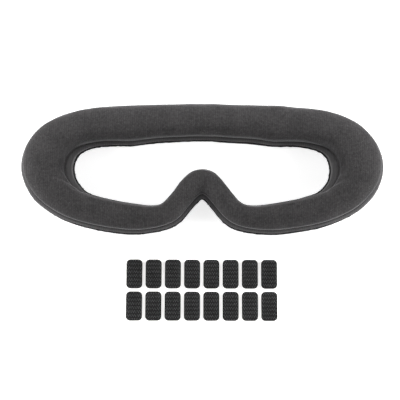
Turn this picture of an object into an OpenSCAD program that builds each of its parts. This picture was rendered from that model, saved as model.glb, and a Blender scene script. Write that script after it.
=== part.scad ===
// Foam face pad for video goggles, with a set of self-adhesive hook tabs.
//
// The pad is a closed ring of soft foam that seals the goggles against the face. A brushed
// knit skin covers the foam, a loop fabric covers its back, and both run out into a thin
// hot-pressed flange along the ring's outer and inner edges. Hook tabs go on the goggles
// and grip the loop fabric. Each tab is woven hook tape, adhesive and a release liner.
//
// Frame: the kit lies on the plane z = 0, the face side of the pad up (+Z), its forehead
// edge towards +Y. The origin is the centre of the kit's footprint on that plane.

/* [Face pad] */
// Width of the pad, from temple to temple
pad_w = 176; // [164:1:188]
// Height of the padded crown over the forehead
crown_h = 11; // [9:0.5:14]
// Width of the pressed flange along the outer edge at the forehead
outer_flange_w = 1.6; // [1.2:0.1:2]
// Height at which the crown bulges furthest out over the outer flange
outer_belly_z = 5.2; // [4:0.1:6]
// How far it bulges out there at the forehead
outer_bulge = 1.1; // [0.6:0.1:1.4]
// Height at which the crown bulges furthest in over the inner flange
inner_belly_z = 3.4; // [2.8:0.1:6]
// How far it bulges in there at the forehead
inner_bulge = 0.5; // [0.3:0.1:1]
// How much less it bulges for each millimetre that its flange is wider than at the forehead
bulge_loss = 0.55; // [0.3:0.05:0.7]
// Where the crown's ridge lies, as a share of its width from the outer side
ridge = 0.82; // [0.6:0.02:0.86]
// How square the crown's outer slope is in section: 2 is part of an ellipse
outer_squareness = 2; // [1.8:0.1:3]
// How square the crown's inner slope is in section
inner_squareness = 2.1; // [1.8:0.1:3]

/* [Laminate] */
// Thickness of the brushed knit skin over the foam
skin_t = 0.8; // [0.5:0.1:1.2]
// Thickness of the skin where it is pressed into the flange
pressed_skin_t = 0.5; // [0.3:0.1:0.6]
// Thickness of the foam where it is crushed into the flange
pressed_foam_t = 0.3; // [0.2:0.1:0.5]
// Thickness of the hot-melt film under the foam
film_t = 0.1; // [0.05:0.05:0.2]
// Thickness of the loop fabric on the back
backing_t = 0.7; // [0.5:0.1:1]

/* [Hook tabs] */
// Width of a tab
tab_w = 7.7; // [6:0.1:8.5]
// Length of a tab
tab_l = 13.9; // [10:0.1:18]
// Corner radius of a tab
tab_r = 2; // [0.5:0.1:3]
// Thickness of the woven base of the hook tape
tape_t = 0.5; // [0.4:0.1:0.8]
// Height of the hooks above the woven base
hook_h = 0.9; // [0.6:0.1:1.4]
// Width of the bare selvedge round the hooks
hook_margin = 0.25; // [0.1:0.05:0.5]
// Thickness of the adhesive
adhesive_t = 0.2; // [0.1:0.05:0.3]
// Thickness of the release liner
liner_t = 0.12; // [0.08:0.02:0.2]

/* [Layout] */
// Clear gap between neighbouring tabs
tab_gap = 1.5; // [1:0.1:4]
// Clear gap between the pad and the tabs
pad_gap = 12; // [6:1:30]

/* [Hidden] */
tabs_per_row = 8;
tab_rows = 2;
tab_count = tabs_per_row * tab_rows;

// Ribs across the band, from the middle of the forehead, round one temple, to the middle
// of the nose notch, on a pad 176 mm wide centred on its own outline:
// [outer edge x, y, inner edge x, y, crown height over that at the forehead, inner flange,
//  outer flange over that at the forehead]
rib_pad_w = 176;
ribs = [
    [ 0.0,  32.2,  0.0,  13.9,  0.0, 2.6, 0.0],
    [20.0,  31.8, 18.0,  13.1,  0.0, 2.6, 0.0],
    [40.0,  31.2, 35.0,  11.8,  0.2, 2.6, 0.0],
    [55.0,  29.7, 47.0,  11.2,  0.5, 2.8, 0.0],
    [68.0,  26.4, 55.5,   9.2,  1.0, 3.2, 0.0],
    [78.0,  21.1, 59.8,   6.2,  1.3, 3.9, 0.2],
    [85.3,  12.6, 61.5,   2.4,  1.5, 4.5, 0.3],
    [88.0,   1.7, 61.7,  -1.8,  1.5, 4.6, 0.4],
    [85.3,  -9.0, 60.2,  -6.5,  1.3, 4.1, 0.7],
    [77.9, -18.3, 55.8, -11.4,  1.0, 3.2, 0.9],
    [66.0, -25.7, 49.0, -13.8,  0.4, 2.3, 1.0],
    [52.0, -29.8, 41.0, -15.6, -0.2, 1.8, 1.0],
    [36.0, -32.2, 32.0, -17.2, -0.6, 1.7, 0.9],
    [24.0, -31.5, 24.5, -18.0, -0.9, 1.7, 0.8],
    [15.5, -29.4, 19.2, -16.8, -1.2, 1.6, 0.9],
    [10.1, -26.1, 14.4, -11.8, -1.5, 1.5, 1.0],
    [ 5.5, -20.6,  9.6,  -5.3, -1.8, 1.5, 1.1],
    [ 1.6, -16.0,  5.0,  -1.2, -2.0, 1.5, 1.1],
    [ 0.0, -15.0,  0.0,   0.1, -2.0, 1.5, 1.1]
];
steps_per_rib = 4;
arch_steps = 12;
tuck_steps = 2;
lining_steps = 8;

// Levels of the laminate in the flange, from the table up
film_z = backing_t;
foam_z = film_z + film_t;
skin_z = foam_z + pressed_foam_t;
flange_top_z = skin_z + pressed_skin_t;

// Levels of a tab, from the table up
adhesive_z = liner_t;
tape_z = adhesive_z + adhesive_t;
tab_top_z = tape_z + tape_t + hook_h;

function two_digits(i) = i < 10 ? str("0", i) : str(i);
function tab_names(kind) = [for (i = [1 : tab_count]) str(kind, "_", two_digits(i))];

// ---- The pad's plan --------------------------------------------------------------------

// The same ribs on the other side of the face, in order, without the two middle ones
function mirrored(r) = [-r[0], r[1], -r[2], r[3], r[4], r[5], r[6]];
all_ribs = concat(ribs, [for (i = [len(ribs) - 2 : -1 : 1]) mirrored(ribs[i])]);

// A smooth curve through four neighbouring ribs, t from 0 to 1 between the middle two
function curve(a, b, c, d, t) =
    0.5 * (2 * b + (c - a) * t + (2 * a - 5 * b + 4 * c - d) * t * t
        + (3 * b - a - 3 * c + d) * t * t * t);
function rib_at(i) = all_ribs[(i + len(all_ribs)) % len(all_ribs)];
stations = [
    for (i = [0 : len(all_ribs) - 1], k = [0 : steps_per_rib - 1])
        curve(rib_at(i - 1), rib_at(i), rib_at(i + 1), rib_at(i + 2), k / steps_per_rib)
];
pad_scale = pad_w / rib_pad_w;
function outer_edge(s) = [s[0] * pad_scale, s[1] * pad_scale + pad_y];
function inner_edge(s) = [s[2] * pad_scale, s[3] * pad_scale + pad_y];

// ---- Where the pad and the tabs lie on the table ----------------------------------------

pad_top = max([for (s = stations) s[1]]) * pad_scale;
pad_bottom = min([for (s = stations) s[1]]) * pad_scale;
tabs_len = tab_rows * tab_l + (tab_rows - 1) * tab_gap;
kit_len = pad_top - pad_bottom + pad_gap + tabs_len;
pad_y = kit_len / 2 - pad_top;
tab_pitch_x = tab_w + tab_gap;
tab_pitch_y = tab_l + tab_gap;
first_tab_x = -(tabs_per_row - 1) / 2 * tab_pitch_x;
first_tab_y = -kit_len / 2 + tabs_len - tab_l / 2;

// ---- The pad's section, as [distance from the outer edge, height] -----------------------

// The crown is two quarters of a superellipse that meet at its ridge: a long, round slope on
// the outer side and a short, steep one on the inner side. Below its belly it tucks in to its
// feet on the flange, or spreads out to them where the flange is wide.
function band_w(s) = norm(inner_edge(s) - outer_edge(s));
function crown_z(s) = crown_h + s[4];
function outer_foot_x(s) = outer_flange_w + s[6];
function inner_foot_x(s) = band_w(s) - s[5];
function outer_belly_x(s) = outer_foot_x(s) - outer_bulge + bulge_loss * s[6];
function inner_belly_x(s) =
    inner_foot_x(s) + inner_bulge - bulge_loss * max(0, s[5] - ribs[0][5]);
function ridge_x(s) = outer_belly_x(s) + ridge * (inner_belly_x(s) - outer_belly_x(s));
function rounded(v, squareness) = sign(v) * pow(abs(v), 2 / squareness);

// A point on the arch over the belly, a = 0 at its outer end and 180 at its inner end
function arch_point(s, a, inset = 0) =
    let (
        outer = a < 90,
        squareness = outer ? outer_squareness : inner_squareness,
        belly_x = outer ? outer_belly_x(s) : inner_belly_x(s),
        belly_z = outer ? outer_belly_z : inner_belly_z,
        reach = abs(belly_x - ridge_x(s)) - inset,
        rise = crown_z(s) - belly_z - inset
    )
    [ridge_x(s) - reach * rounded(cos(a), squareness),
     belly_z + rise * rounded(sin(a), squareness)];

// A point on the tuck, t = 0 at the foot and 1 at the belly
function tuck_point(foot_x, belly_x, belly_z, t) =
    [belly_x + (foot_x - belly_x) * pow(1 - t, 2),
     flange_top_z + (belly_z - flange_top_z) * t];

function dome(s) = concat(
    [for (k = [0 : tuck_steps - 1])
        tuck_point(outer_foot_x(s), outer_belly_x(s), outer_belly_z, k / tuck_steps)],
    [for (k = [0 : arch_steps]) arch_point(s, 180 * k / arch_steps)],
    [for (k = [tuck_steps - 1 : -1 : 0])
        tuck_point(inner_foot_x(s), inner_belly_x(s), inner_belly_z, k / tuck_steps)]
);

// The face between the skin and the foam, one skin thickness inside the crown and carried
// down to the pressed foam
function lining(s) = concat(
    [[outer_foot_x(s) + skin_t, skin_z]],
    [for (k = [0 : lining_steps]) arch_point(s, 180 * k / lining_steps, skin_t)],
    [[inner_foot_x(s) - skin_t, skin_z]]
);
function backwards(list) = [for (i = [len(list) - 1 : -1 : 0]) list[i]];

function skin_section(s) = concat(
    [[0, skin_z], [0, flange_top_z]], dome(s),
    [[band_w(s), flange_top_z], [band_w(s), skin_z]], backwards(lining(s))
);
function foam_section(s) = concat(
    [[0, foam_z], [0, skin_z]], lining(s), [[band_w(s), skin_z], [band_w(s), foam_z]]
);

// A section point, placed on its rib
function on_rib(s, p) =
    let (o = outer_edge(s), across = (inner_edge(s) - o) / band_w(s))
    [o[0] + across[0] * p[0], o[1] + across[1] * p[0], p[1]];

// A solid ring through one closed section at each station. The skin's section meets the
// foam's in the opposite order, so one of them is split along the other diagonals, and
// the faces that they share are the same triangles.
module ring(sections, opposite = false) {
    n = len(sections);
    m = len(sections[0]);
    points = [for (i = [0 : n - 1], p = sections[i]) on_rib(stations[i], p)];
    function at(i, j) = (i % n) * m + j % m;
    faces = [
        for (i = [0 : n - 1], j = [0 : m - 1])
            let (a = at(i, j), b = at(i, j + 1), c = at(i + 1, j + 1), d = at(i + 1, j))
            each opposite ? [[a, b, d], [b, c, d]] : [[a, b, c], [a, c, d]]
    ];
    polyhedron(points, faces, convexity = 8);
}

// A flat layer of the pad's full outline
module layer(z, t) {
    n = len(stations);
    translate([0, 0, z])
        linear_extrude(t)
            polygon(
                concat([for (s = stations) outer_edge(s)], [for (s = stations) inner_edge(s)]),
                [[for (i = [0 : n - 1]) i], [for (i = [0 : n - 1]) n + i]]
            );
}

// ---- The pad's pieces -------------------------------------------------------------------

module face_skin() {
    color("#3b393b")
        ring([for (s = stations) skin_section(s)], opposite = true);
}

module foam_core() {
    color("#2a2a2c")
        ring([for (s = stations) foam_section(s)]);
}

module bond_film() {
    color("#1e1e20")
        layer(film_z, film_t);
}

module loop_backing() {
    color("#141416")
        layer(0, backing_t);
}

// ---- The tabs' pieces -------------------------------------------------------------------

corner_steps = 6;

// A rectangle with round corners, inset on every side
function rounded_corners(inset) =
    let (x = tab_w / 2 - tab_r, y = tab_l / 2 - tab_r)
    [
        for (q = [0 : 3], k = [0 : corner_steps])
            let (a = 90 * (q + k / corner_steps))
            [(q == 0 || q == 3 ? x : -x) + (tab_r - inset) * cos(a),
             (q < 2 ? y : -y) + (tab_r - inset) * sin(a)]
    ];

module tab_layer(i, z, t, inset = 0) {
    column = (i - 1) % tabs_per_row;
    row = floor((i - 1) / tabs_per_row);
    translate([first_tab_x + column * tab_pitch_x, first_tab_y - row * tab_pitch_y, z])
        linear_extrude(t)
            polygon(rounded_corners(inset));
}

// The woven base, and the field of hooks as the space that they fill
module hook_tape(i) {
    color("#262628")
        union() {
            tab_layer(i, tape_z, tape_t);
            tab_layer(i, tape_z + tape_t, hook_h, hook_margin);
        }
}

module adhesive(i) {
    color("#d8d2c0")
        tab_layer(i, adhesive_z, adhesive_t);
}

module liner(i) {
    color("#f2f2ee")
        tab_layer(i, 0, liner_t);
}

face_skin();
foam_core();
bond_film();
loop_backing();
for (i = [1 : tab_count]) {
    hook_tape(i);
    adhesive(i);
    liner(i);
}
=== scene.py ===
import math
import random

import bmesh
import bpy
from mathutils import Euler, Matrix, Vector, kdtree, noise


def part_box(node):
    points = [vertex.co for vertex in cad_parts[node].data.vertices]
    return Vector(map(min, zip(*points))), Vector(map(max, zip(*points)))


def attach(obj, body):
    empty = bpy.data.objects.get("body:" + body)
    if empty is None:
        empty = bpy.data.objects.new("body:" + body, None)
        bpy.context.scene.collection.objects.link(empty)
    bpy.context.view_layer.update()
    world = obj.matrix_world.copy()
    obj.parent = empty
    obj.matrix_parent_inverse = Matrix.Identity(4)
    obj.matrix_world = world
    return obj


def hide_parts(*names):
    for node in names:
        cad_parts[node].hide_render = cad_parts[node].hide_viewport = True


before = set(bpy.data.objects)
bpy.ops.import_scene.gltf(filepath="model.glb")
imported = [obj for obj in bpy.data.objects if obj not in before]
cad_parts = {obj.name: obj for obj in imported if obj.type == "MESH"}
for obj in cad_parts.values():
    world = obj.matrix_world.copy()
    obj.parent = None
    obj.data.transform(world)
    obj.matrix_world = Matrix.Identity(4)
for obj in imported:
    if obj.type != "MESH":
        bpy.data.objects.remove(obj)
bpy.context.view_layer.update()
MM = 0.001


scene = bpy.context.scene
scene.view_settings.view_transform = "Standard"

CAMERA_ELEVATION = math.radians(79)
CAMERA_TURN = math.radians(0.2)
CAMERA_DISTANCE = 0.6
aim = Vector((-0.95, 4.65, 5.0)) * MM
camera_data = bpy.data.cameras.new("camera")
camera_data.lens = 112.5
camera = bpy.data.objects.new("camera", camera_data)
camera.rotation_euler = (math.pi / 2 - CAMERA_ELEVATION, 0, CAMERA_TURN)
camera.location = aim + camera.rotation_euler.to_matrix() @ Vector((0, 0, CAMERA_DISTANCE))
scene.collection.objects.link(camera)
scene.camera = camera


def softbox(name, place, size, watts):
    light = bpy.data.lights.new(name, "AREA")
    light.shape = "RECTANGLE"
    light.size, light.size_y = size
    light.energy = watts
    box = bpy.data.objects.new(name, light)
    box.location = place
    box.rotation_euler = (-Vector(place)).to_track_quat("-Z", "Y").to_euler()
    scene.collection.objects.link(box)


softbox("forehead_softbox", (-0.1, 0.75, 0.2), (0.9, 0.3), 7)
softbox("nose_softbox", (0.1, -0.8, 0.2), (0.9, 0.3), 3)
softbox("left_softbox", (-0.75, 0.1, 0.2), (0.6, 0.3), 10)
softbox("right_softbox", (0.75, 0.1, 0.2), (0.6, 0.3), 11)


def new_material(name, **settings):
    """A material with its Principled shader's sockets set, and a maker for more nodes."""
    material = bpy.data.materials.new(name)
    material.use_nodes = True
    tree = material.node_tree
    shader = tree.nodes["Principled BSDF"]
    for socket, value in settings.items():
        shader.inputs[socket.replace("_", " ")].default_value = value
    return material, tree, shader


def add_node(tree, kind, inputs=(), **settings):
    """A node with its properties set, and its sockets set or joined to another's output."""
    node = tree.nodes.new(kind)
    for name, value in settings.items():
        setattr(node, name, value)
    for name, value in dict(inputs).items():
        if isinstance(value, bpy.types.NodeSocket):
            tree.links.new(value, node.inputs[name])
        else:
            node.inputs[name].default_value = value
    return node


room = bpy.data.worlds.new("room")
room.use_nodes = True
tree = room.node_tree
coords = add_node(tree, "ShaderNodeTexCoord")
height = add_node(tree, "ShaderNodeSeparateXYZ", {0: coords.outputs["Generated"]})
tent = add_node(tree, "ShaderNodeMapRange",
                {"Value": height.outputs["Z"], "From Max": 0.7, "To Min": 1.6,
                 "To Max": 0.2})
tree.nodes["Background"].inputs["Color"].default_value = (1, 1, 1, 1)
tree.links.new(tent.outputs["Result"], tree.nodes["Background"].inputs["Strength"])
scene.world = room

opal, tree, shader = new_material("opal", Roughness=0.6, Emission_Strength=0.55,
                                  Emission_Color=(1, 1, 1, 1))
coords = add_node(tree, "ShaderNodeTexCoord")
grain = add_node(tree, "ShaderNodeTexNoise", {"Vector": coords.outputs["Object"], "Scale": 900})
tint = add_node(tree, "ShaderNodeMix", {"Factor": grain.outputs["Fac"]}, data_type="RGBA")
tint.inputs["A"].default_value = (0.86, 0.86, 0.86, 1)
tint.inputs["B"].default_value = (0.9, 0.9, 0.9, 1)
tree.links.new(tint.outputs["Result"], shader.inputs["Base Color"])

TABLE_REACH = 1.5
bm = bmesh.new()
bmesh.ops.create_grid(bm, x_segments=1, y_segments=1, size=TABLE_REACH)
table_mesh = bpy.data.meshes.new("table_top")
bm.to_mesh(table_mesh)
bm.free()
table_mesh.materials.append(opal)
table_top = bpy.data.objects.new("table_top", table_mesh)
scene.collection.objects.link(table_top)


# ---- Face skin --------------------------------------------------------------------------
# Charcoal brushed polyester knit, heat-formed over the foam and hot-pressed with it into a
# thin flange along both edges of the ring. The crown is soft, so it swells a little between
# them. The press irons the flange's nap smooth and a little paler, and the flange's colour
# is lightened further as painted light against the groove's shade, most at the temples.

skin_low, skin_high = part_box("face_skin")
FLANGE_TOP = 1.6 * MM
SKIN_THICK = 0.5 * MM
pad_middle = (skin_low.y + skin_high.y) / 2


def merged_copy(node):
    """A CAD node's mesh as a bmesh whose faces share their corners."""
    bm = bmesh.new()
    bm.from_mesh(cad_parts[node].data)
    bmesh.ops.remove_doubles(bm, verts=bm.verts, dist=1e-6)
    return bm


def ramp(value, start, end):
    """How far a value is on the way from a start to an end, kept from 0 to 1."""
    return min(1, max(0, (value - start) / (end - start)))


DRIFT = 0.3 * MM
DRIFT_WAVE = 14 * MM
DRIFT_PLACE = Vector((3.1, 7.7, 0))
DRIFT_SEED = 1
BROW_SAG = 0.35 * MM
BROW_PLACE = Vector((34 * MM, pad_middle + 12.5 * MM))
BROW_REACH = Vector((6 * MM, 4 * MM))
noise.seed_set(DRIFT_SEED)  # Without it, noise_vector takes its seed from the clock


def out_of_true(point):
    """How far the soft ring lies out of its true plan at a point: it is cut and laid by
    hand, and its brow edge sags a little on each side of the nose."""
    place = Vector((point.x, point.y, 0)) / DRIFT_WAVE
    drift = noise.noise_vector(place + DRIFT_PLACE) * DRIFT
    brow = Vector((abs(point.x), point.y)) - BROW_PLACE
    sag = BROW_SAG * math.exp(-(brow.x / BROW_REACH.x) ** 2 - (brow.y / BROW_REACH.y) ** 2)
    return Vector((drift.x, drift.y - sag, 0))


def finish_piece(name, bm, material, body, replaced=()):
    """The bmesh as a piece that rides on its body, smooth-shaded, with its finish."""
    mesh = bpy.data.meshes.new(name)
    bm.to_mesh(mesh)
    bm.free()
    mesh.shade_smooth()
    mesh.materials.append(material)
    piece = bpy.data.objects.new(name, mesh)
    scene.collection.objects.link(piece)
    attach(piece, body)
    if replaced:
        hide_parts(*replaced)
    return piece


def apply_modifiers(piece):
    """The piece's evaluated mesh in place of its modifiers."""
    depsgraph = bpy.context.evaluated_depsgraph_get()
    piece.data = bpy.data.meshes.new_from_object(piece.evaluated_get(depsgraph))
    piece.modifiers.clear()


# The outside of the skin is what doesn't touch the foam
touching = kdtree.KDTree(len(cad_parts["foam_core"].data.vertices))
for index, vertex in enumerate(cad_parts["foam_core"].data.vertices):
    touching.insert(vertex.co, index)
touching.balance()
bm = merged_copy("face_skin")
lining = [f for f in bm.faces if any(touching.find(v.co)[2] < 2e-6 for v in f.verts)]
bmesh.ops.delete(bm, geom=lining, context="FACES")
bmesh.ops.join_triangles(bm, faces=bm.faces, angle_face_threshold=math.pi,
                         angle_shape_threshold=math.pi)

# Painted shade: the knit's colour is darkened on the steep wall round the opening, less so
# along the nose side, and at the foot of both walls. The knit's cut edge draws back from the
# loop fabric's, most round the opening.
WALL_HEIGHT = 4.5 * MM
SHADE_ON_NOSE_SIDE = 0.9
SHADE_AT_INNER_FOOT = 0.8
SHADE_AT_NOSE_FOOT = 0.4
DRAWN_BACK_INSIDE = 0.6 * MM
DRAWN_BACK_TEMPLE = 0.3 * MM
DRAWN_BACK_OUTSIDE = 0.6 * MM
opening_y = pad_middle + 6 * MM
painted_wall_shade = bm.verts.layers.float.new("painted_wall_shade")
rim = {v for e in bm.edges if e.is_boundary for v in e.verts}
bm.normal_update()


def faces_opening(place, direction):
    """Whether a direction at a place on the ring points into the eye opening."""
    return direction.x * -0.3 * place.x + direction.y * (opening_y - place.y) > 0


def toward_nose(direction):
    """How far a direction points to the nose side, from 0 to 1."""
    return ramp(-direction.y, 0.3, 0.7)


# Painted shade: how far the knit's colour is darkened at each point of the walls and their feet
for vertex in set(bm.verts) - rim:
    up = (vertex.co.z - FLANGE_TOP) / WALL_HEIGHT
    if faces_opening(vertex.co, vertex.normal):
        steep = ramp(vertex.normal.xy.length, 0.4, 0.9)
        wall = steep * (1 - 0.65 * abs(vertex.normal.y))
        at_foot = SHADE_AT_INNER_FOOT * max(0, -vertex.normal.y) * ramp(up, 1.2, 0.8)
    else:
        nose_side = toward_nose(vertex.normal)
        wall = SHADE_ON_NOSE_SIDE * nose_side * ramp(up, 1, 0.667)
        at_foot = SHADE_AT_NOSE_FOOT * nose_side * ramp(up, 1.6, 0.6)
    vertex[painted_wall_shade] = max(wall * ramp(up, -0.1, 0.233), at_foot)
for vertex in rim:
    feet = [e.other_vert(vertex) for e in vertex.link_edges if not e.is_boundary]
    foot = min(feet, key=lambda v: (v.co - vertex.co).length)
    outward = (vertex.co - foot.co).normalized()
    if faces_opening(vertex.co, outward):
        drawn_back = DRAWN_BACK_INSIDE + DRAWN_BACK_TEMPLE * abs(outward.x)
    else:
        drawn_back = DRAWN_BACK_OUTSIDE * toward_nose(outward)
    vertex.co -= outward * drawn_back

skin_mesh = bpy.data.meshes.new("skin_form")
bm.to_mesh(skin_mesh)
bm.free()
skin_form = bpy.data.objects.new("skin_form", skin_mesh)
scene.collection.objects.link(skin_form)
smooth = skin_form.modifiers.new("smooth", "SUBSURF")
smooth.levels = smooth.render_levels = 1
apply_modifiers(skin_form)

# The foam pushes the knit outwards: a closed copy, held along the flange, is blown up as
# cloth. The foam stops it from moving inwards. How far it may swell is capped, so the crown
# keeps its height, and it swells less low on the wall, where the hot press held it.
SWELL_CAP = 0.4 * MM
SWELL_FRAMES = 20
HELD_HEIGHT = FLANGE_TOP + 0.05 * MM
bm = bmesh.new()
bm.from_mesh(skin_form.data)
bmesh.ops.bridge_loops(bm, edges=[e for e in bm.edges if e.is_boundary])
bmesh.ops.recalc_face_normals(bm, faces=bm.faces)
blown_mesh = bpy.data.meshes.new("blown")
bm.to_mesh(blown_mesh)
bm.free()
blown = bpy.data.objects.new("blown", blown_mesh)
scene.collection.objects.link(blown)
held = blown.vertex_groups.new(name="held")
held.add([v.index for v in blown_mesh.vertices if v.co.z < HELD_HEIGHT], 1, "ADD")
cloth = blown.modifiers.new("cloth", "CLOTH")
cloth.settings.vertex_group_mass = "held"
cloth.settings.use_pressure = True
cloth.settings.uniform_pressure_force = 40
cloth.settings.shrink_min = -0.003
cloth.settings.effector_weights.gravity = 0
cloth.point_cache.frame_end = SWELL_FRAMES
for frame_number in range(1, SWELL_FRAMES + 1):
    scene.frame_set(frame_number)
apply_modifiers(blown)
outwards = [v.normal.copy() for v in skin_form.data.vertices]
for taut, full, outward in zip(skin_form.data.vertices, blown.data.vertices, outwards):
    swell = (full.co - taut.co).dot(outward)
    free = ramp((taut.co.z - FLANGE_TOP) / WALL_HEIGHT, 0.2, 1.2)
    taut.co += outward * min(max(swell, 0), SWELL_CAP) * free
bpy.data.objects.remove(blown)
scene.frame_set(1)

smooth = skin_form.modifiers.new("smooth", "SUBSURF")
smooth.levels = smooth.render_levels = 1
apply_modifiers(skin_form)
bm = bmesh.new()
bm.from_mesh(skin_form.data)
bpy.data.objects.remove(skin_form)
bm.normal_update()

# Handling marks: a shallow fold runs from each lower outer corner of the opening out into
# the wing, and the crown is nowhere quite even
FOLD_START = Vector((59.0, pad_middle / MM - 10.6)) * MM
FOLD_END = Vector((72.0, pad_middle / MM - 5.2)) * MM
FOLD_DEPTH = 0.4 * MM
FOLD_WIDTH = 0.9 * MM
LUMP_SIZE = 7 * MM
LUMP_HEIGHT = 0.14 * MM
fold_run = FOLD_END - FOLD_START
moves = []
for vertex in bm.verts:
    crown = ramp(vertex.co.z, FLANGE_TOP, FLANGE_TOP + 3 * MM)
    lump = noise.noise(vertex.co / LUMP_SIZE) * LUMP_HEIGHT
    plan = Vector((abs(vertex.co.x), vertex.co.y)) - FOLD_START
    along = plan.dot(fold_run) / fold_run.length_squared
    across = abs(plan.x * fold_run.y - plan.y * fold_run.x) / fold_run.length
    fade = max(0, 1 - (2 * along - 0.8) ** 2 / 1.44)
    fold = FOLD_DEPTH * fade * math.exp(-(across / FOLD_WIDTH) ** 2)
    moves.append(vertex.normal * crown * (lump - fold))
for vertex, move in zip(bm.verts, moves):
    vertex.co += move + out_of_true(vertex.co)
bm.normal_update()
skin_outside = bm.copy()


def add_group(name, inputs, outputs):
    """An empty shader node group with its named sockets, and its two end nodes."""
    group = bpy.data.node_groups.new(name, "ShaderNodeTree")
    for socket, kind, value in inputs:
        made = group.interface.new_socket(socket, in_out="INPUT", socket_type=kind)
        if value is not None:
            made.default_value = value
    for socket, kind in outputs:
        group.interface.new_socket(socket, in_out="OUTPUT", socket_type=kind)
    return group, group.nodes.new("NodeGroupInput"), group.nodes.new("NodeGroupOutput")


# Heather: yarns and fibres of one cloth take the dye unevenly, and it gathers a little dust
heather, ins, outs = add_group(
    "heather",
    [("Vector", "NodeSocketVector", None), ("Fleck Size", "NodeSocketFloat", 0.4 * MM),
     ("Dark", "NodeSocketColor", (0.02, 0.02, 0.02, 1)),
     ("Light", "NodeSocketColor", (0.05, 0.05, 0.05, 1))],
    [("Color", "NodeSocketColor"), ("Fleck", "NodeSocketFloat")])
per_size = add_node(heather, "ShaderNodeMath", {0: 1, 1: ins.outputs["Fleck Size"]},
                    operation="DIVIDE")
fleck = add_node(heather, "ShaderNodeTexNoise",
                 {"Vector": ins.outputs["Vector"], "Scale": per_size.outputs[0],
                  "Detail": 3, "Roughness": 0.7})
cloud = add_node(heather, "ShaderNodeTexNoise",
                 {"Vector": ins.outputs["Vector"], "Scale": 130, "Detail": 2})
both = add_node(heather, "ShaderNodeMix",
                {"Factor": 0.25, "A": fleck.outputs["Fac"], "B": cloud.outputs["Fac"]})
spread = add_node(heather, "ShaderNodeMapRange",
                  {"Value": both.outputs["Result"], "From Min": 0.35, "From Max": 0.65})
shade = add_node(heather, "ShaderNodeMix", {"Factor": spread.outputs["Result"]},
                 data_type="RGBA")
heather.links.new(ins.outputs["Dark"], shade.inputs["A"])
heather.links.new(ins.outputs["Light"], shade.inputs["B"])
heather.links.new(shade.outputs["Result"], outs.inputs["Color"])
heather.links.new(spread.outputs["Result"], outs.inputs["Fleck"])


def add_heather(tree, size, dark, light):
    """The heather group on object coordinates, in one material's own size and shades."""
    coords = add_node(tree, "ShaderNodeTexCoord")
    node = add_node(tree, "ShaderNodeGroup", node_tree=heather)
    tree.links.new(coords.outputs["Object"], node.inputs["Vector"])
    node.inputs["Fleck Size"].default_value = size
    node.inputs["Dark"].default_value = (*dark, 1)
    node.inputs["Light"].default_value = (*light, 1)
    return coords, node


WALE_PITCH = 1.05 * MM
brushed_knit, tree, shader = new_material(
    "brushed_knit", Roughness=0.95, Sheen_Weight=0.35, Sheen_Roughness=0.3,
    Sheen_Tint=(0.72, 0.72, 0.74, 1), Specular_IOR_Level=0.05)
coords, dye = add_heather(tree, 1.1 * MM, (0.0265, 0.0255, 0.026), (0.0495, 0.0475, 0.0485))
height = add_node(tree, "ShaderNodeSeparateXYZ", {0: coords.outputs["Object"]})
# Painted shade: the knit's colour is multiplied down to 0.45 where the painted wall shade is
# full
painted_shade_here = add_node(tree, "ShaderNodeAttribute", attribute_name="painted_wall_shade")
painted_shade_factor = add_node(tree, "ShaderNodeMapRange",
                  {"Value": painted_shade_here.outputs["Fac"], "To Min": 1, "To Max": 0.45})
# Painted light: the flange is paler than the crown, partly the pressed nap's own tone and
# partly painted light against the groove's shade; the extra lightening towards the temples is
# painted light alone
pressed = add_node(tree, "ShaderNodeMapRange",
                   {"Value": height.outputs["Z"], "From Min": FLANGE_TOP + 0.3 * MM,
                    "From Max": FLANGE_TOP})
side = add_node(tree, "ShaderNodeMath", {0: height.outputs["X"]}, operation="ABSOLUTE")
painted_temple_light = add_node(tree, "ShaderNodeMapRange",
                  {"Value": side.outputs[0], "From Min": 45 * MM, "From Max": 62 * MM})
flange_tone_and_light = add_node(tree, "ShaderNodeMix", {"Factor": painted_temple_light.outputs["Result"]}, data_type="RGBA")
flange_tone_and_light.inputs["A"].default_value = (0.1, 0.097, 0.099, 1)
flange_tone_and_light.inputs["B"].default_value = (0.13, 0.127, 0.129, 1)
flange_pale_and_lit = add_node(tree, "ShaderNodeMix", {"Factor": pressed.outputs["Result"]}, data_type="RGBA")
tree.links.new(dye.outputs["Color"], flange_pale_and_lit.inputs["A"])
tree.links.new(flange_tone_and_light.outputs["Result"], flange_pale_and_lit.inputs["B"])
shaded = add_node(tree, "ShaderNodeMix", {"Factor": 1.0}, data_type="RGBA",
                  blend_type="MULTIPLY")
tree.links.new(flange_pale_and_lit.outputs["Result"], shaded.inputs["A"])
tree.links.new(painted_shade_factor.outputs["Result"], shaded.inputs["B"])
wales = add_node(tree, "ShaderNodeTexWave",
                 {"Vector": coords.outputs["Object"], "Scale": 0.05 / WALE_PITCH * 2 * math.pi,
                  "Distortion": 3.0, "Detail": 2, "Detail Scale": 2.0},
                 bands_direction="X")
between = add_node(tree, "ShaderNodeMapRange",
                   {"Value": wales.outputs["Fac"], "To Min": 0.9, "To Max": 1.06})
striped = add_node(tree, "ShaderNodeMix", {"Factor": 1.0}, data_type="RGBA",
                   blend_type="MULTIPLY")
tree.links.new(shaded.outputs["Result"], striped.inputs["A"])
tree.links.new(between.outputs["Result"], striped.inputs["B"])
tree.links.new(striped.outputs["Result"], shader.inputs["Base Color"])
nap = add_node(tree, "ShaderNodeTexNoise",
               {"Vector": coords.outputs["Object"], "Scale": 1 / (0.22 * MM), "Detail": 3})
relief = add_node(tree, "ShaderNodeMix",
                  {"Factor": 0.3, "A": nap.outputs["Fac"], "B": wales.outputs["Fac"]})
bump = add_node(tree, "ShaderNodeBump",
                {"Height": relief.outputs["Result"], "Strength": 0.6, "Distance": 0.12 * MM})
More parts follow.
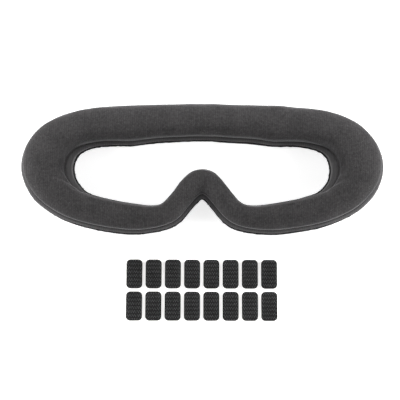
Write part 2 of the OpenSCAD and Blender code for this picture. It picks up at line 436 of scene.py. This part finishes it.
tree.links.new(bump.outputs["Normal"], shader.inputs["Normal"])

face_skin = finish_piece("face_skin_knit", bm, brushed_knit, "pad", ["face_skin"])
thickness = face_skin.modifiers.new("thickness", "SOLIDIFY")
thickness.thickness = SKIN_THICK
thickness.offset = -1


# ---- Nap ----------------------------------------------------------------------------------
# Fine loose fibre ends that brushing raises from the knit. They stand off the crown in all
# directions and catch the light along its rims.

def scatter(bm, count, seed):
    """Random points spread evenly over a bmesh's faces, each with the face's normal."""
    chance = random.Random(seed)
    bmesh.ops.triangulate(bm, faces=bm.faces)
    faces = list(bm.faces)
    for face in chance.choices(faces, [f.calc_area() for f in faces], k=count):
        a, b, c = (v.co for v in face.verts)
        u, v = sorted((chance.random(), chance.random()))
        yield a * u + b * (v - u) + c * (1 - v), face.normal, chance


def planted(shape, places):
    """One bmesh with a copy of the shape's mesh at each of the placing matrices."""
    bm = bmesh.new()
    before = Matrix.Identity(4)
    for place in places:
        shape.transform(place @ before.inverted())
        bm.from_mesh(shape)
        before = place
    bpy.data.meshes.remove(shape)
    return bm


FIBRE_COUNT = 15000
FIBRE_LENGTH = 0.55 * MM
FIBRE_WIDTH = 0.035 * MM
bm = bmesh.new()
bmesh.ops.create_cone(bm, segments=3, radius1=FIBRE_WIDTH / 2, radius2=0, depth=FIBRE_LENGTH)
bmesh.ops.translate(bm, verts=bm.verts, vec=(0, 0, FIBRE_LENGTH / 2))
fibre = bpy.data.meshes.new("fibre")
bm.to_mesh(fibre)
bm.free()

places = []
for point, normal, chance in scatter(skin_outside, FIBRE_COUNT, seed=4):
    lean = chance.uniform(0.3, 1.35)
    turn = Euler((lean, 0, chance.uniform(0, 2 * math.pi)), "XYZ").to_matrix().to_4x4()
    upright = normal.to_track_quat("Z", "Y").to_matrix().to_4x4()
    length = Matrix.Diagonal((1, 1, chance.uniform(0.5, 1.3), 1))
    places.append(Matrix.Translation(point) @ upright @ turn @ length)
bm = planted(fibre, places)
skin_outside.free()
fibre_ends, tree, shader = new_material(
    "fibre_ends", Roughness=0.85, Sheen_Weight=0.15, Sheen_Roughness=0.4,
    Specular_IOR_Level=0.3)
coords, dye = add_heather(tree, 1.5 * MM, (0.035, 0.035, 0.036), (0.08, 0.08, 0.083))
tree.links.new(dye.outputs["Color"], shader.inputs["Base Color"])
finish_piece("face_skin_nap", bm, fibre_ends, "pad")


# ---- Foam core --------------------------------------------------------------------------
# Dark open-cell polyurethane foam, cut to the ring's plan and crushed to a thin line in the
# flange. Its cut edge is all that shows of it.

def padded_layer(node):
    """A layer of the pad, its CAD node's shape lying out of true as the skin does."""
    bm = merged_copy(node)
    for vertex in bm.verts:
        vertex.co += out_of_true(vertex.co)
    return bm


foam, tree, shader = new_material("foam", Roughness=0.95, Specular_IOR_Level=0.2)
coords, dye = add_heather(tree, 0.6 * MM, (0.011, 0.011, 0.012), (0.03, 0.03, 0.032))
cells = add_node(tree, "ShaderNodeTexVoronoi",
                 {"Vector": coords.outputs["Object"], "Scale": 1 / (0.35 * MM)})
# Painted shade: the foam's colour darkens towards each cell's middle, where the pore hollows
# fall into shade
pore_shade = add_node(tree, "ShaderNodeMix", {"Factor": cells.outputs["Distance"]},
                 data_type="RGBA")
pore_shade.inputs["A"].default_value = (0.006, 0.006, 0.006, 1)
tree.links.new(dye.outputs["Color"], pore_shade.inputs["B"])
tree.links.new(pore_shade.outputs["Result"], shader.inputs["Base Color"])
bump = add_node(tree, "ShaderNodeBump",
                {"Height": cells.outputs["Distance"], "Strength": 0.8, "Distance": 0.2 * MM})
tree.links.new(bump.outputs["Normal"], shader.inputs["Normal"])
foam_piece = finish_piece("foam_core_cut", padded_layer("foam_core"), foam, "pad",
                          ["foam_core"])


# ---- Bond film --------------------------------------------------------------------------
# A clear hot-melt film that glues the loop fabric to the foam. Between two dark layers it
# shows as a dark, faintly glossy line.

film, tree, shader = new_material("film", Roughness=0.35, Coat_Weight=0.3)
coords, dye = add_heather(tree, 2 * MM, (0.014, 0.014, 0.015), (0.028, 0.028, 0.029))
tree.links.new(dye.outputs["Color"], shader.inputs["Base Color"])
finish_piece("bond_film_melt", padded_layer("bond_film"), film, "pad",
             ["bond_film"])


# ---- Loop backing -----------------------------------------------------------------------
# Black loop fabric over the whole back, which the hooks grip: a tight base cloth with
# a thick stand of small nylon loops. Its edge is uneven where the die cut through the
# loops, and it shows as a dark line round the pressed flange.

BASE_CLOTH = 0.35 * MM
LOOP_COUNT = 6500
LOOP_RADIUS = 0.2 * MM
LOOP_YARN = 0.035 * MM
EDGE_UNEVEN = 0.3 * MM
EDGE_WAVE = 1.3 * MM
backing_low, backing_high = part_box("loop_backing")

bm = padded_layer("loop_backing")
for vertex in bm.verts:
    vertex.co.z = max(vertex.co.z, backing_high.z - BASE_CLOTH)
bm.normal_update()
rim = [e for e in bm.edges if e.calc_face_angle(0) > 1.5]
bmesh.ops.subdivide_edges(bm, edges=rim, cuts=4)
bm.normal_update()
for vertex in bm.verts:
    outward = Vector((vertex.normal.x, vertex.normal.y, 0)).normalized()
    uneven = noise.noise(Vector((vertex.co.x, vertex.co.y, 0)) / EDGE_WAVE)
    vertex.co += outward * EDGE_UNEVEN * uneven
underside = bm.copy()
raised = [f for f in underside.faces if f.normal.z > -0.5]
bmesh.ops.delete(underside, geom=raised, context="FACES")

loop_cloth, tree, shader = new_material(
    "loop_cloth", Roughness=0.85, Sheen_Weight=0.25, Sheen_Roughness=0.4)
coords, dye = add_heather(tree, 0.4 * MM, (0.009, 0.009, 0.01), (0.026, 0.026, 0.028))
tree.links.new(dye.outputs["Color"], shader.inputs["Base Color"])
nap = add_node(tree, "ShaderNodeTexNoise",
               {"Vector": coords.outputs["Object"], "Scale": 1 / (0.2 * MM), "Detail": 3})
bump = add_node(tree, "ShaderNodeBump",
                {"Height": nap.outputs["Fac"], "Strength": 0.8, "Distance": 0.15 * MM})
tree.links.new(bump.outputs["Normal"], shader.inputs["Normal"])
finish_piece("loop_backing_cloth", bm, loop_cloth, "pad", ["loop_backing"])

bm = bmesh.new()
bmesh.ops.create_circle(bm, segments=3, radius=LOOP_YARN, cap_ends=True)
bmesh.ops.translate(bm, verts=bm.verts, vec=(LOOP_RADIUS, 0, 0))
bmesh.ops.spin(bm, geom=bm.verts[:] + bm.edges[:] + bm.faces[:], cent=(0, 0, 0),
               axis=(0, 1, 0), angle=math.pi, steps=5)
bmesh.ops.recalc_face_normals(bm, faces=bm.faces)
loop = bpy.data.meshes.new("loop")
bm.to_mesh(loop)
bm.free()

places = []
stand = backing_high.z - backing_low.z - BASE_CLOTH - LOOP_YARN
for point, normal, chance in scatter(underside, LOOP_COUNT, seed=9):
    turn = Euler((chance.uniform(-0.5, 0.5), 0, chance.uniform(0, math.pi)), "XYZ")
    size = Matrix.Diagonal((chance.uniform(0.7, 1.3), 1, stand / LOOP_RADIUS, 1))
    places.append(Matrix.Translation(point) @ turn.to_matrix().to_4x4() @ size)
bm = planted(loop, places)
underside.free()
finish_piece("loop_backing_pile", bm, loop_cloth, "pad")


# ---- Hook tabs --------------------------------------------------------------------------
# Black nylon hook tape, die-cut into small rectangles with round corners: a woven base with
# staggered rows of monofilament hooks. The hooks come nearly to the cut edge, and the rows
# fall differently on each tab.

TAPE_THICK = 0.5 * MM
HOOK_PITCH_X = 1.15 * MM
HOOK_PITCH_Y = 0.95 * MM
HOOK_YARN = 0.1 * MM
HOOK_BEND = 0.24 * MM
HOOK_MARGIN = 0.3 * MM
CORNER = 2 * MM
tape_low, tape_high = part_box("hook_tape_01")
stem = tape_high.z - tape_low.z - TAPE_THICK - HOOK_BEND - HOOK_YARN

bm = bmesh.new()
bmesh.ops.create_circle(bm, segments=5, radius=HOOK_YARN, cap_ends=True)
made = bmesh.ops.extrude_face_region(bm, geom=bm.faces[:])
top = [g for g in made["geom"] if isinstance(g, bmesh.types.BMVert)]
bmesh.ops.translate(bm, verts=top, vec=(0, 0, stem))
tip = [f for f in bm.faces if f.calc_center_median().z > stem * 0.99]
tip_edges = list({e for f in tip for e in f.edges})
bmesh.ops.spin(bm, geom=top + tip_edges + tip, cent=(0, HOOK_BEND, stem), axis=(-1, 0, 0),
               angle=math.radians(205), steps=5)
bmesh.ops.recalc_face_normals(bm, faces=bm.faces)
hook = bpy.data.meshes.new("hook")
bm.to_mesh(hook)
bm.free()

woven_nylon, tree, shader = new_material("woven_nylon", Roughness=0.75, Specular_IOR_Level=0.1)
coords, dye = add_heather(tree, 0.3 * MM, (0.016, 0.016, 0.016), (0.03, 0.03, 0.0305))
tree.links.new(dye.outputs["Color"], shader.inputs["Base Color"])
weave = add_node(tree, "ShaderNodeTexWave",
                 {"Vector": coords.outputs["Object"], "Scale": 0.05 / (0.4 * MM) * 2 * math.pi},
                 bands_direction="DIAGONAL")
bump = add_node(tree, "ShaderNodeBump",
                {"Height": weave.outputs["Fac"], "Strength": 0.6, "Distance": 0.08 * MM})
tree.links.new(bump.outputs["Normal"], shader.inputs["Normal"])

hook_nylon, tree, shader = new_material("hook_nylon", Roughness=0.5, Specular_IOR_Level=0.15)
coords, dye = add_heather(tree, 1.1 * MM, (0.057, 0.057, 0.0585), (0.093, 0.093, 0.0955))
tree.links.new(dye.outputs["Color"], shader.inputs["Base Color"])


def on_tab(x, y, half_x, half_y):
    """Whether a hook's foot is on the tab, clear of its cut edge and round corners."""
    past = Vector((max(abs(x) - half_x + CORNER, 0), max(abs(y) - half_y + CORNER, 0)))
    return past.length < CORNER - HOOK_MARGIN - HOOK_YARN


tab_names = sorted(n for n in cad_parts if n.startswith("hook_tape_"))
for number, node in enumerate(tab_names):
    body = node.replace("hook_tape", "tab")
    low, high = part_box(node)
    middle = (low + high) / 2
    half = (high - low) / 2
    chance = random.Random(number)

    bm = bmesh.new()
    bmesh.ops.create_grid(bm, x_segments=1, y_segments=1, size=1)
    bmesh.ops.scale(bm, verts=bm.verts, vec=(half.x, half.y, 1))
    bmesh.ops.bevel(bm, geom=bm.verts[:], offset=CORNER, affect="VERTICES", segments=6,
                    profile=0.5, material=-1)
    made = bmesh.ops.extrude_face_region(bm, geom=bm.faces[:])
    top = [g for g in made["geom"] if isinstance(g, bmesh.types.BMVert)]
    bmesh.ops.translate(bm, verts=top, vec=(0, 0, TAPE_THICK))
    edge = [e for e in bm.edges if all(v.co.z > 0 for v in e.verts)]
    bmesh.ops.bevel(bm, geom=edge, offset=0.1 * MM, affect="EDGES", segments=2, profile=0.5,
                    material=-1)
    bmesh.ops.recalc_face_normals(bm, faces=bm.faces)
    bmesh.ops.translate(bm, verts=bm.verts, vec=(middle.x, middle.y, low.z))
    finish_piece(node + "_weave", bm, woven_nylon, body, [node])

    start = Vector((chance.uniform(0, HOOK_PITCH_X), chance.uniform(0, HOOK_PITCH_Y)))
    rows = int(2 * half.y / HOOK_PITCH_Y) + 2
    columns = int(2 * half.x / HOOK_PITCH_X) + 3
    places = []
    for row in range(rows):
        facing = math.pi * (row % 2)
        for column in range(columns):
            x = (column + 0.5 * (row % 2) - 1) * HOOK_PITCH_X - half.x + start.x
            y = (row - 1) * HOOK_PITCH_Y - half.y + start.y
            x += chance.uniform(-0.05, 0.05) * MM
            y += chance.uniform(-0.05, 0.05) * MM
            if not on_tab(x, y, half.x, half.y):
                continue
            turn = Euler((0, chance.uniform(-0.1, 0.1), facing + chance.uniform(-0.3, 0.3)))
            foot = Matrix.Translation((middle.x + x, middle.y + y, low.z + TAPE_THICK))
            places.append(foot @ turn.to_matrix().to_4x4())
    bm = planted(hook.copy(), places)
    finish_piece(node + "_hooks", bm, hook_nylon, body)


# ---- Adhesive and liner -----------------------------------------------------------------
# Under each tab is a coat of cream pressure-sensitive adhesive on a siliconised
# white paper liner, which peels off when the tab is stuck on.

tack, tree, shader = new_material("tack", Roughness=0.3, Coat_Weight=0.2)
coords, dye = add_heather(tree, 1.2 * MM, (0.56, 0.52, 0.4), (0.7, 0.66, 0.54))
tree.links.new(dye.outputs["Color"], shader.inputs["Base Color"])
liner_paper, tree, shader = new_material("liner_paper", Roughness=0.4)
coords, dye = add_heather(tree, 0.5 * MM, (0.8, 0.8, 0.77), (0.88, 0.88, 0.86))
tree.links.new(dye.outputs["Color"], shader.inputs["Base Color"])
for name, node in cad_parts.items():
    finish = {"adhesive": tack, "liner": liner_paper}.get(name.rsplit("_", 1)[0])
    if finish:
        node.data.materials.clear()
        node.data.materials.append(finish)
        node.material_slots[0].material = finish
